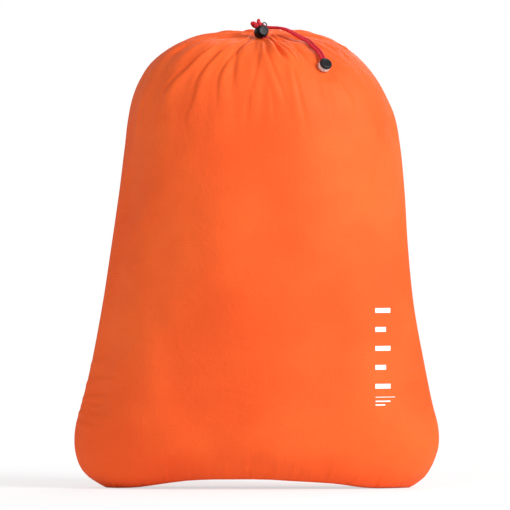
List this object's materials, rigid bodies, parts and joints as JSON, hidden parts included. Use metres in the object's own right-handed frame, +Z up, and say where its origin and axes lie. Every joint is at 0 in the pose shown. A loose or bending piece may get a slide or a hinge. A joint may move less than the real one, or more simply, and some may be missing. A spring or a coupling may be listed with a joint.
{
  "type": "stuff sack",
  "caption": "Stuffed drawcord sack of thin cloth with a pleated, cinched mouth, spring cord lock and doubled cord tail.",
  "frame": {"origin": "on the ground under the middle of the base", "axes": "+Z up from the base to the mouth; -Y out of the front face, which carries the cord lock and tail; +X to the right as the front is looked at"},
  "size_m": [0.3208, 0.1652, 0.4113],
  "materials": {
    "ripstop_cloth": "satin",
    "seam_tape": "matte",
    "label_cloth": "matte",
    "red_cord": "matte",
    "black_plastic": "satin",
    "clear_plastic": "satin",
    "spring_steel": "satin"
  },
  "bodies": {
    "sack": {"back_panel": "ripstop_cloth", "front_panel": "ripstop_cloth", "left_side_seam": "seam_tape", "right_side_seam": "seam_tape", "bottom_seam": "seam_tape", "care_label": "label_cloth"},
    "front_mouth": {"front_gather": "ripstop_cloth", "front_hem": "ripstop_cloth", "cord_strand_left": "red_cord", "cord_strand_right": "red_cord"},
    "back_mouth": {"back_gather": "ripstop_cloth", "back_hem": "ripstop_cloth", "drawcord_back": "red_cord"},
    "cord_lock": {"cord_lock_barrel": "black_plastic", "cord_lock_spring": "spring_steel"},
    "lock_button": {"cord_lock_plunger": "black_plastic"},
    "tail_upper": {"tail_upper_left": "red_cord", "tail_upper_right": "red_cord"},
    "tail_lower": {"tail_lower_left": "red_cord", "tail_lower_right": "red_cord"},
    "cord_end": {"cord_end_base": "clear_plastic", "cord_end_cap": "black_plastic", "cord_knot": "red_cord"}
  },
  "joints": [
    {"name": "front_mouth_opening", "type": "hinge", "parent": "sack", "child": "front_mouth", "pos_m": [0, -0.0823, 0.3218], "axis": [1, 0, 0], "range_deg": [0, 18]},
    {"name": "back_mouth_opening", "type": "hinge", "parent": "sack", "child": "back_mouth", "pos_m": [0, 0.0823, 0.3218], "axis": [-1, 0, 0], "range_deg": [0, 18]},
    {"name": "cord_lock_slide", "type": "slide", "parent": "front_mouth", "child": "cord_lock", "axis": [-0.4468, 0, 0.8946], "range_m": [0, 0.0018]},
    {"name": "lock_button_press", "type": "slide", "parent": "cord_lock", "child": "lock_button", "axis": [-0.3601, 0.9154, -0.1801], "range_m": [0, 0.0017], "stiffness_N_per_m": 5, "springref_m": -0.001, "deforming": ["cord_lock_spring"]},
    {"name": "tail_lift", "type": "hinge", "parent": "front_mouth", "child": "tail_upper", "pos_m": [0.02941, -0.02513, 0.40149], "axis": [-0.5568, -0.8298, -0.038], "range_deg": [0, 70]},
    {"name": "tail_bend", "type": "hinge", "parent": "tail_upper", "child": "tail_lower", "pos_m": [0.04948, -0.04211, 0.38766], "axis": [-0.8478, -0.4909, -0.2009], "range_deg": [0, 75]},
    {"name": "cord_end_tilt", "type": "hinge", "parent": "tail_lower", "child": "cord_end", "pos_m": [0.05822, -0.05698, 0.37469], "axis": [-0.9023, -0.4282, 0.05], "range_deg": [0, 35]}
  ],
  "couplings": [
    {"joint": "back_mouth_opening", "follows": "front_mouth_opening", "ratio": 1}
  ]
}
